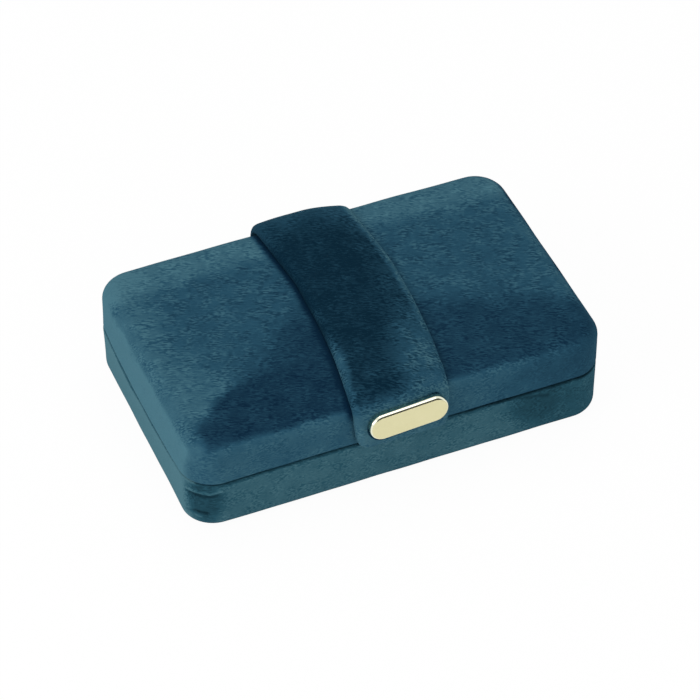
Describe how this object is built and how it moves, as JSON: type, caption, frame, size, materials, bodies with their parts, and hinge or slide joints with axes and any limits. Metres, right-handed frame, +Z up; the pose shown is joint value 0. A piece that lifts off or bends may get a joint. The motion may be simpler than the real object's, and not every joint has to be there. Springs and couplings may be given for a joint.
{
  "type": "velvet ring box",
  "caption": "Flat rounded velvet box whose padded lid opens on rear hinges over a bed of ring rolls; a padded strap with a metal bar runs over the lid.",
  "frame": {"origin": "centre of the underside that the closed box rests on", "axes": "+X along the box, to the right seen from the front; -Y towards the front; +Z up"},
  "size_m": [0.16, 0.1127, 0.0448],
  "materials": {
    "velvet": "short pile",
    "lining_velvet": "short pile",
    "underside_suede": "flat nap",
    "moulded_shell": "matte",
    "card": "matte",
    "foam": "open cell",
    "magnet_nickel": "plated",
    "gold_plate": "satin, polished edge",
    "hinge_brass": "satin"
  },
  "bodies": {
    "base": {"base_cover": "velvet", "base_lining": "lining_velvet", "base_sheet": "underside_suede", "base_shell": "moulded_shell", "insert_board": "card", "base_magnet": "magnet_nickel", "hinge_base_screws": "hinge_brass", "hinge_base_leaf_left": "hinge_brass", "hinge_base_leaf_right": "hinge_brass", "hinge_pin_left": "hinge_brass", "hinge_pin_right": "hinge_brass", "ring_roll_1": "lining_velvet", "ring_roll_2": "lining_velvet", "ring_roll_3": "lining_velvet", "ring_roll_4": "lining_velvet", "ring_roll_5": "lining_velvet", "ring_roll_6": "lining_velvet", "ring_roll_7": "lining_velvet", "ring_roll_core_1": "foam", "ring_roll_core_2": "foam", "ring_roll_core_3": "foam", "ring_roll_core_4": "foam", "ring_roll_core_5": "foam", "ring_roll_core_6": "foam", "ring_roll_core_7": "foam"},
    "lid": {"lid_shell": "moulded_shell", "lid_foam": "foam", "lid_cover": "velvet", "lid_magnet": "magnet_nickel", "lid_board": "card", "lid_lining": "lining_velvet", "lid_pad": "lining_velvet", "strap_core": "foam", "strap_cover": "velvet", "strap_plate": "gold_plate", "plate_washers": "hinge_brass", "hinge_lid_screws": "hinge_brass", "hinge_lid_leaf_left": "hinge_brass", "hinge_lid_leaf_right": "hinge_brass"}
  },
  "joints": [
    {"name": "lid_hinge", "type": "hinge", "parent": "base", "child": "lid", "pos_m": [0, 0.0508, 0.0216], "axis": [-1, 0, 0], "range_deg": [0, 105]}
  ]
}
